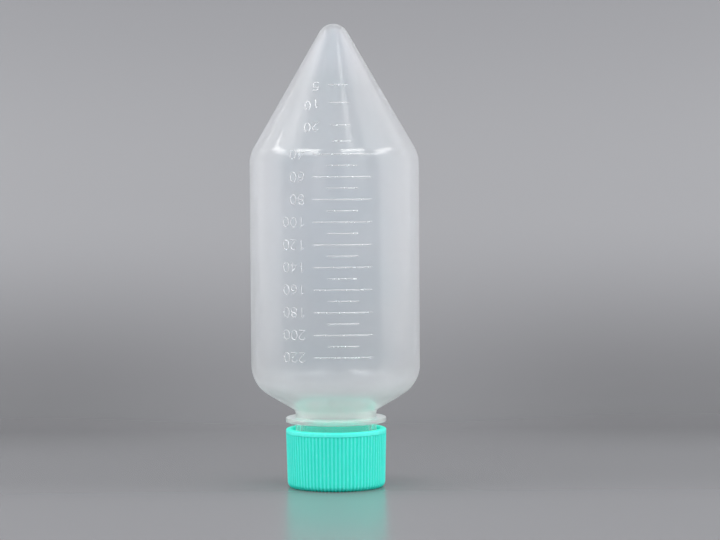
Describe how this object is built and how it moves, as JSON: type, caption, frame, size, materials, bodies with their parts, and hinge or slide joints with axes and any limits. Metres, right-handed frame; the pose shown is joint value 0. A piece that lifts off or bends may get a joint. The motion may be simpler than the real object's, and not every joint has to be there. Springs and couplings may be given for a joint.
{
  "type": "conical centrifuge bottle",
  "caption": "Wide centrifuge bottle with a conical bottom and raised graduations, standing upside down on its ribbed screw cap, which turns off with a true screw motion.",
  "frame": {"origin": "centre of the cap's flat outer face, which is the bottom of the standing bottle", "axes": "+Z along the bottle's axis towards the tip of the cone, -Y towards the graduated side"},
  "size_m": [0.06, 0.0601, 0.1645],
  "materials": {
    "clear_plastic": "translucent natural polypropylene, smooth, slightly milky",
    "green_plastic": "mint-green moulded plastic, satin",
    "soft_ring": "white soft silicone, matt"
  },
  "bodies": {
    "cap": {"cap": "green_plastic"},
    "seal": {"seal": "soft_ring"},
    "bottle": {"bottle": "clear_plastic"}
  },
  "joints": [
    {"name": "unscrew_lift", "type": "slide", "parent": "cap", "child": "seal", "axis": [0, 0, 1], "range_m": [0, 0.018]},
    {"name": "unscrew_turn", "type": "hinge", "parent": "seal", "child": "bottle", "pos_m": [0, 0, 0], "axis": [0, 0, 1], "range_deg": [0, 1440]}
  ],
  "couplings": [
    {"joint": "unscrew_lift", "follows": "unscrew_turn", "m_per_rad": 0.00071619}
  ]
}
